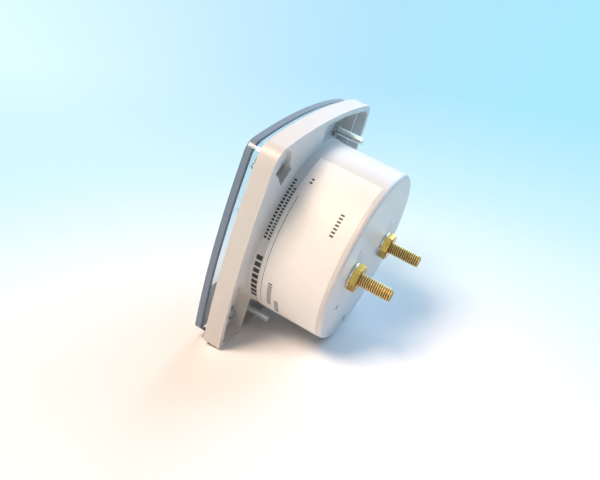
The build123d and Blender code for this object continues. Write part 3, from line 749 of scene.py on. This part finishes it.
class METER_OT_terminals(bpy.types.Operator):
    """Model the threaded terminal studs and their nuts and washers"""

    bl_idname = "meter.terminals"
    bl_label = "Terminals"

    def execute(self, context):
        made = finishes()
        sizes = context.scene.meter_sizes
        thread = bpy.data.materials["threaded brass"]
        face = size_of("terminal_nuts")[1].y - SEAM
        for side in ("left", "right"):
            node_name = f"terminal_stud_{side}"
            low, high = size_of(node_name)
            middle = (low + high) / 2
            rod = threaded_rod(
                f"terminal_thread_{side}",
                TERMINAL_R,
                sizes.terminal_root,
                sizes.terminal_pitch,
                face,
                high.y,
                TERMINAL_STEPS,
            )
            places = [(middle.x, middle.z)]
            rod = copies_at(rod, places)
            stud = trimmed_copy(node_name, f"terminal_{side}", face)
            join_into(stud, rod)
            mark_relief(stud, places, sizes.terminal_root, TERMINAL_R)
            finish_piece(stud, "case", "brass", thread, node_name, angle=40)
        nuts = merged_copy("terminal_nuts", "terminal_hex_nuts")
        ease_edges(nuts, sizes.nut_edge)
        finish_piece(nuts, "case", "brass", made["brass"], "terminal_nuts")
        washers = merged_copy("terminal_washers", "terminal_plain_washers")
        ease_edges(washers, sizes.nut_edge)
        finish_piece(washers, "case", "zinc_steel", made["zinc_steel"], "terminal_washers")
        return {"FINISHED"}


class METER_OT_mounting_studs(bpy.types.Operator):
    """Model the two threaded mounting studs and their thin nuts"""

    bl_idname = "meter.mounting_studs"
    bl_label = "Mounting Studs"

    def execute(self, context):
        made = finishes()
        sizes = context.scene.meter_sizes
        face = size_of("stud_nuts")[1].y - SEAM
        high = size_of("mounting_studs")[1]
        x = high.x - STUD_HEAD_R
        z = high.z - STUD_HEAD_R
        places = [(-x, z), (x, -z)]
        rod = threaded_rod(
            "stud_thread", STUD_R, sizes.stud_root, sizes.stud_pitch, face, high.y, STUD_STEPS
        )
        rods = copies_at(rod, places)
        studs = trimmed_copy("mounting_studs", "panel_studs", face)
        join_into(studs, rods)
        mark_relief(studs, places, sizes.stud_root, STUD_R)
        thread = bpy.data.materials["threaded steel"]
        finish_piece(studs, "case", "zinc_steel", thread, "mounting_studs", angle=40)
        nuts = merged_copy("stud_nuts", "panel_stud_nuts")
        ease_edges(nuts, sizes.nut_edge)
        finish_piece(nuts, "case", "zinc_steel", made["zinc_steel"], "stud_nuts")
        return {"FINISHED"}


# Label: its packed thickness, and the share of it that the visual one has, so it stays off the barrel
LABEL_THICK = 0.12 * MM
LABEL_SHARE = 0.9

# Plain rule on the label: two depths in mm, start and end angle
LABEL_RULE = (4.85, 5.0, -37, 42)

# Rows of plain bars: two depths in mm, start and end angle, pitch in degrees and the bars' share of it
LABEL_ROWS = (
    (5.7, 6.7, 52, 57, 2.4, 0.5),
    (7.4, 9.0, -36, -14, 2.3, 0.5),
    (10.4, 12.0, -43, -27, 2.3, 0.5),
    (20.4, 21.8, 30, 46, 2.2, 0.5),
)
CASE_ROWS = (
    (0.8, 3.1, -36, 4, 4.8, 0.68),
    (0.7, 1.7, 12, 52, 2.2, 0.6),
    (2.2, 3.1, 12, 46, 1.9, 0.55),
)


class METER_OT_label(bpy.types.Operator):
    """Model the label on the barrel and its plain printed bars and rules"""

    bl_idname = "meter.label"
    bl_label = "Barrel Label"

    def arc(self, radius, y0, y1, start, end):
        """Add a strip of the barrel's curve between two depths and two angles, to the mesh in edit mode."""
        turn = Matrix.Rotation(-math.radians(start), 3, "Y")
        draw_line([turn @ Vector((radius, y0, 0)), turn @ Vector((radius, y1, 0))])
        sweep = math.radians(end - start)
        steps = max(1, round(abs(end - start) / 2))
        bpy.ops.mesh.spin(steps=steps, angle=sweep, center=(0, 0, 0), axis=(0, 1, 0))

    def rows(self, radius, table):
        """Add rows of plain bars that stand for small print."""
        for y0, y1, start, end, step, share in table:
            for k in range(round((end - start) / step)):
                foot = start + k * step
                self.arc(radius, y0 * MM, y1 * MM, foot, foot + step * share)

    def execute(self, context):
        made = finishes()
        low, high = size_of("rating_label")
        radius = high.x
        top = math.degrees(math.asin(high.z / radius))
        bottom = math.degrees(math.asin(low.z / radius))
        label = start_piece("rating_paper")
        self.arc(radius, low.y, high.y, bottom, top)
        close_piece()
        wall = label.modifiers.new("thickness", "SOLIDIFY")
        wall.thickness = LABEL_THICK * LABEL_SHARE
        wall.offset = -1
        apply_modifiers(label)
        finish_piece(label, "case", "label_paper", made["label_paper"], "rating_label")

        ink = bpy.data.materials["printing ink"]
        lift = context.scene.meter_sizes.print_lift
        marks = start_piece("label_print")
        rule_low, rule_high, start, end = LABEL_RULE
        self.arc(radius + lift, rule_low * MM, rule_high * MM, start, end)
        self.rows(radius + lift, LABEL_ROWS)
        bpy.ops.object.mode_set(mode="OBJECT")
        finish_piece(marks, "case", "label_paper", ink)
        stamp = start_piece("case_print")
        self.rows(radius - LABEL_THICK + lift, CASE_ROWS)
        bpy.ops.object.mode_set(mode="OBJECT")
        finish_piece(stamp, "case", "white_abs", ink)
        return {"FINISHED"}


# Raised signs beside the terminals: x and z in mm, and the sides of each one's bars, so two make a plus
SIGNS = ((16.6, 9.3, ((3.4, 0.7), (0.7, 3.4))), (-16.2, 9.3, ((3.4, 0.7),)))
SIGN_LIFT = 0.2 * MM

# Round mould marks: x and z in mm, and their profile as radius in mm and share of the signs' lift
MOULD_MARKS = ((18.4, -12.7), (-0.1, -27.7))
MOULD_PROFILE = ((0.0004, 0.125), (0.7, 0.125), (0.85, 0.5), (1.05, 0.0))
MOULD_STEPS = 24


class METER_OT_rear_marks(bpy.types.Operator):
    """Model the raised plus and minus signs and the round mould marks on the rear face"""

    bl_idname = "meter.rear_marks"
    bl_label = "Rear Marks"

    def bar(self, x, z, width, height, face, lift):
        """Add a raised bar on the rear face, its sides drawn in from its foot, to the mesh in edit mode."""
        ends = ((-1, -1), (1, -1), (1, 1), (-1, 1))
        draw_line([(x + a * width / 2, face, z + b * height / 2) for a, b in ends])
        bpy.ops.mesh.edge_face_add()
        bpy.ops.mesh.extrude_region_move(TRANSFORM_OT_translate={"value": (0, lift, 0)})
        centre = (x, face + lift, z)
        bpy.ops.transform.resize(value=(1 - lift / width, 1, 1 - lift / height), center_override=centre)

    def execute(self, context):
        made = finishes()
        face = size_of("terminal_washers")[0].y
        signs = start_piece("polarity_signs")
        for x, z, bars in SIGNS:
            for width, height in bars:
                self.bar(x * MM, z * MM, width * MM, height * MM, face, SIGN_LIFT)
        close_piece()
        finish_piece(signs, "case", "white_abs", made["white_abs"])

        dish = start_piece("mould_marks")
        draw_line([(radius * MM, face + SIGN_LIFT * share, 0) for radius, share in MOULD_PROFILE])
        bpy.ops.mesh.spin(steps=MOULD_STEPS, angle=2 * math.pi, center=(0, 0, 0), axis=(0, 1, 0))
        bpy.ops.mesh.select_all(action="SELECT")
        bpy.ops.mesh.remove_doubles(threshold=WELD)
        close_piece()
        dish = copies_at(dish, [(x * MM, z * MM) for x, z in MOULD_MARKS])
        # The marks' dark grey is painted shade of their hollow
        finish_piece(dish, "case", "white_abs", bpy.data.materials["shaded moulding"])
        return {"FINISHED"}


# Dial print in mm: the arc's radius and width, how far outside it the numbers stand, and their height
SCALE_R = 33.0
ARC_WIDTH = 0.25
ARC_STEPS = 60
NUMBERS_OUT = 6.2
NUMBERS_HIGH = 4.4
NUMBERS = (0, 10, 20, 30, 40, 50)

# Ticks: the parts of the scale, every how many of them is left to a longer tick, length and width in mm
TICKS = ((50, 5, 1.6, 0.12), (10, 2, 2.6, 0.2), (5, None, 3.6, 0.35))


class METER_OT_dial_print(bpy.types.Operator):
    """Print the scale on the dial: arc, ticks and plain numbers"""

    bl_idname = "meter.dial_print"
    bl_label = "Dial Print"

    def execute(self, context):
        finishes()
        face = size_of("dial_plate")[0].y - context.scene.meter_sizes.print_lift
        joint = next(j for j in frame["joints"] if j["name"] == "pointer_turn")
        pivot = Vector(joint["pos_m"])
        half = math.radians(joint["range_deg"][1] / 2)
        ink = bpy.data.materials["printing ink"]
        scale_r = SCALE_R * MM
        marks = start_piece("dial_scale")
        centre = Vector((0, face, pivot.z))

        def at(radius, angle):
            """The point on the dial at a radius and an angle from upright."""
            return centre + Vector((radius * math.sin(angle), 0, radius * math.cos(angle)))

        draw_line([at(scale_r, -half), at(scale_r + ARC_WIDTH * MM, -half)])
        bpy.ops.mesh.spin(steps=ARC_STEPS, angle=-2 * half, center=centre, axis=(0, 1, 0))
        for count, left_out, length, width in TICKS:
            for k in range(count + 1):
                if left_out and k % left_out == 0:
                    continue
                angle = -half + 2 * half * k / count
                side = Vector((math.cos(angle), 0, -math.sin(angle))) * width * MM / 2
                foot, tip = at(scale_r, angle), at(scale_r + length * MM, angle)
                draw_line([foot - side, foot + side, tip + side, tip - side])
                bpy.ops.mesh.edge_face_add()
        close_piece()
        finish_piece(marks, "case", "dial_white", ink)

        words = []
        for number in NUMBERS:
            angle = -half + 2 * half * number / NUMBERS[-1]
            place = at(scale_r + NUMBERS_OUT * MM, angle)
            clear_selection()
            bpy.ops.object.text_add(location=place, rotation=(math.pi / 2, angle, 0))
            word = bpy.context.object
            word.data.body = str(number)
            word.data.size = NUMBERS_HIGH * MM
            word.data.align_x = "CENTER"
            word.data.align_y = "CENTER"
            bpy.ops.object.convert(target="MESH")
            bpy.ops.object.transform_apply(location=True, rotation=True, scale=True)
            words.append(bpy.context.object)
        numbers = words[0]
        for word in words[1:]:
            join_into(numbers, word)
        numbers.name = "dial_numbers"
        finish_piece(numbers, "case", "dial_white", ink)
        return {"FINISHED"}


# Soft boxes: name, place in metres, width in metres, power in watts and colour
LAMPS = (
    ("key box", (0.36, -0.30, 0.60), 0.3, 6.3, "#FFE5CF"),
    ("sky box", (-0.60, 0.10, 0.45), 0.7, 6.1, "#BDE1FF"),
    ("cool box", (-0.15, 0.70, 0.40), 0.6, 0.9, "#4DABFF"),
    ("glint box", (0.52, 0.17, 0.29), 0.12, 0.2, "#FFF6EC"),
)


# Camera fitted to the photo: place in metres, turn in degrees, focal length and sensor in mm
CAMERA_PLACE = (0.22182, 0.07216, 0.12421)
CAMERA_TURN = (59.163, -16.869, 117.189)
CAMERA_LENS = 42.83
CAMERA_SENSOR = 36.0

# Floor: its radius in metres, and the centre and radius of the barrel's rounded rim, which rests on it
FLOOR_R = 3.0
RIM_CENTRE = (0, 27.8 * MM, -31.5 * MM)
RIM_ROUND = 1.5 * MM

# The floor's painted light, which turns it bluer away from the meter: the point in metres that it spreads
# from and the way it turns bluer
TONE_CENTRE = (0.055, 0.023, 0.044)
TONE_WAY = (-0.399, 0.895, 0.202)

# Its colours of painted light by distance in metres and by direction, each with the span of its ramp
NEAR_SPAN = (0.0, 0.4)
FAR_SPAN = (-0.6, 0.4)
NEAR_TONES = ((0.11, "#FEFEFE"), (0.15, "#F0FEFF"), (0.24, "#D8FAFF"), (0.36, "#CEF4FF"))
FAR_TONES = ((-0.5, "#E3FFFF"), (-0.12, "#C5EDFF"), (0.09, "#B5E7FE"), (0.36, "#ADEBFF"))

# Distances in metres over which the paper begins to glow, and over which direction decides its tone
GLOW_FADE = (0.11, 0.22)
TONE_FADE = (0.2, 0.5)


class METER_OT_stage(bpy.types.Operator):
    """Lay the floor that the meter leans on, and set the lamps, the world and the camera"""

    bl_idname = "meter.stage"
    bl_label = "Stage"

    def floor(self):
        """Lay the floor under the flange's lower edge and the barrel's rim."""
        rim = Vector(RIM_CENTRE)
        foot = Vector((0, 0, size_of("housing")[0].z))
        reach = (rim - foot).length
        tilt = math.atan2(rim.z - foot.z, rim.y - foot.y) - math.asin(RIM_ROUND / reach)
        clear_selection()
        bpy.ops.mesh.primitive_circle_add(
            vertices=96, radius=FLOOR_R, fill_type="NGON", location=foot, rotation=(tilt, 0, 0)
        )
        floor = bpy.context.object
        floor.name = "floor"
        bpy.ops.object.transform_apply(location=True, rotation=True, scale=True)
        floor.data.materials.append(self.paper_sweep())

    def ramp(self, tree, value, low, high, stops):
        """Colour ramp over a value between two limits, from pairs of place and hex colour."""
        span = node(tree, "ShaderNodeMapRange", {"Value": value, "From Min": low, "From Max": high})
        made = node(tree, "ShaderNodeValToRGB", {"Fac": span.outputs["Result"]})
        points = made.color_ramp.elements
        while len(points) < len(stops):
            points.new(0.5)
        for point, (place, code) in zip(points, stops):
            point.position = (place - low) / (high - low)
            point.color = linear(code)
        return made.outputs["Color"]

    def paper_sweep(self):
        """Paper: white and matt by the meter, turning with distance to a pale blue of painted light that
        glows where it is seen straight.
        """
        material = bpy.data.materials.new("paper sweep")
        material.use_nodes = True
        tree = material.node_tree
        shader = tree.nodes["Principled BSDF"]
        shader.inputs["Roughness"].default_value = 0.9
        shader.inputs["Specular IOR Level"].default_value = 0.1
        place = node(tree, "ShaderNodeTexCoord").outputs["Object"]
        moved = node(tree, "ShaderNodeVectorMath", {0: place, 1: TONE_CENTRE}, operation="SUBTRACT")
        across = node(
            tree, "ShaderNodeVectorMath", {0: moved.outputs[0], 1: TONE_WAY}, operation="DOT_PRODUCT"
        )
        reach = node(tree, "ShaderNodeVectorMath", {0: moved.outputs[0]}, operation="LENGTH")
        reach = reach.outputs["Value"]
        turn = node(tree, "ShaderNodeMath", {0: across.outputs["Value"], 1: reach}, operation="DIVIDE")
        near = self.ramp(tree, reach, *NEAR_SPAN, NEAR_TONES)
        far = self.ramp(tree, turn.outputs[0], *FAR_SPAN, FAR_TONES)
        low, high = TONE_FADE
        apart = node(tree, "ShaderNodeMapRange", {"Value": reach, "From Min": low, "From Max": high})
        colour = node(tree, "ShaderNodeMix", {"Factor": apart.outputs["Result"]}, data_type="RGBA")
        tree.links.new(near, colour.inputs[6])
        tree.links.new(far, colour.inputs[7])
        # The paper's own colour takes the near tones of painted light too
        tree.links.new(near, shader.inputs["Base Color"])

        lit = node(tree, "ShaderNodeEmission", {"Color": colour.outputs[2], "Strength": 1.0})
        low, high = GLOW_FADE
        fade = node(tree, "ShaderNodeMapRange", {"Value": reach, "From Min": low, "From Max": high})
        seen = seen_straight(tree)
        share = node(tree, "ShaderNodeMath", {0: seen, 1: fade.outputs["Result"]}, operation="MULTIPLY")
        top = node(
            tree,
            "ShaderNodeMixShader",
            {"Fac": share.outputs[0], 1: shader.outputs["BSDF"], 2: lit.outputs[0]},
        )
        under = node(tree, "ShaderNodeNewGeometry").outputs["Backfacing"]
        clear = node(tree, "ShaderNodeBsdfTransparent")
        mix = node(tree, "ShaderNodeMixShader", {"Fac": under, 1: top.outputs[0], 2: clear.outputs["BSDF"]})
        tree.links.new(mix.outputs[0], tree.nodes["Material Output"].inputs["Surface"])
        return material

    def lamp(self, name, place, size, power, colour):
        """Hang a square soft box and point it at the meter."""
        data = bpy.data.lights.new(name, "AREA")
        data.shape = "SQUARE"
        data.size = size
        data.energy = power
        data.color = linear(colour)[:3]
        held = bpy.data.objects.new(name, data)
        held.location = place
        held.rotation_euler = (-Vector(place)).to_track_quat("-Z", "Y").to_euler()
        bpy.context.scene.collection.objects.link(held)

    def world(self, scene):
        """Surround the meter with a pale room that lights it hardly at all."""
        world = bpy.data.worlds.new("pale room")
        scene.world = world
        world.use_nodes = True
        tree = world.node_tree
        fill = node(tree, "ShaderNodeBackground", {"Color": linear("#D8E6F2"), "Strength": 0.012})
        pale = node(tree, "ShaderNodeBackground", {"Color": linear("#CFEFFE"), "Strength": 1.0})
        seen = seen_straight(tree)
        mix = node(tree, "ShaderNodeMixShader", {"Fac": seen, 1: fill.outputs[0], 2: pale.outputs[0]})
        tree.links.new(mix.outputs[0], tree.nodes["World Output"].inputs["Surface"])

    def camera(self, scene):
        """Set the camera where the photo was taken from."""
        lens = bpy.data.cameras.new("photo view")
        lens.lens = CAMERA_LENS
        lens.sensor_width = CAMERA_SENSOR
        lens.clip_start = 0.01
        lens.clip_end = 20.0
        camera = bpy.data.objects.new("photo view", lens)
        camera.location = CAMERA_PLACE
        camera.rotation_euler = [math.radians(a) for a in CAMERA_TURN]
        scene.collection.objects.link(camera)
        scene.camera = camera

    def execute(self, context):
        self.floor()
        for lamp in LAMPS:
            self.lamp(*lamp)
        self.world(context.scene)
        self.camera(context.scene)
        context.scene.view_settings.view_transform = "Standard"
        return {"FINISHED"}


class METER_PT_panel(bpy.types.Panel):
    """List the steps that dress the meter"""

    bl_idname = "METER_PT_panel"
    bl_label = "Panel Meter"
    bl_space_type = "VIEW_3D"
    bl_region_type = "UI"
    bl_category = "Meter"

    def draw(self, context):
        for group in (context.scene.meter_sizes, context.scene.meter_colours):
            box = self.layout.box()
            for name in group.__annotations__:
                box.prop(group, name)
        for step in STEPS:
            self.layout.operator(step.bl_idname)


STEPS = (
    METER_OT_inner_works,
    METER_OT_case,
    METER_OT_terminals,
    METER_OT_mounting_studs,
    METER_OT_label,
    METER_OT_rear_marks,
    METER_OT_dial_print,
    METER_OT_stage,
)
CLASSES = (MeterSizes, MeterColours, *STEPS, METER_PT_panel)


def register():
    """Add the classes and the two groups of settings to Blender."""
    for kind in CLASSES:
        bpy.utils.register_class(kind)
    bpy.types.Scene.meter_sizes = bpy.props.PointerProperty(type=MeterSizes)
    bpy.types.Scene.meter_colours = bpy.props.PointerProperty(type=MeterColours)


def unregister():
    """Take the settings and the classes away again."""
    del bpy.types.Scene.meter_colours
    del bpy.types.Scene.meter_sizes
    for kind in reversed(CLASSES):
        bpy.utils.unregister_class(kind)


def main():
    """Register the add-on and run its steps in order."""
    register()
    bpy.ops.meter.inner_works()
    bpy.ops.meter.case()
    bpy.ops.meter.terminals()
    bpy.ops.meter.mounting_studs()
    bpy.ops.meter.label()
    bpy.ops.meter.rear_marks()
    bpy.ops.meter.dial_print()
    bpy.ops.meter.stage()


if __name__ == "__main__":
    main()
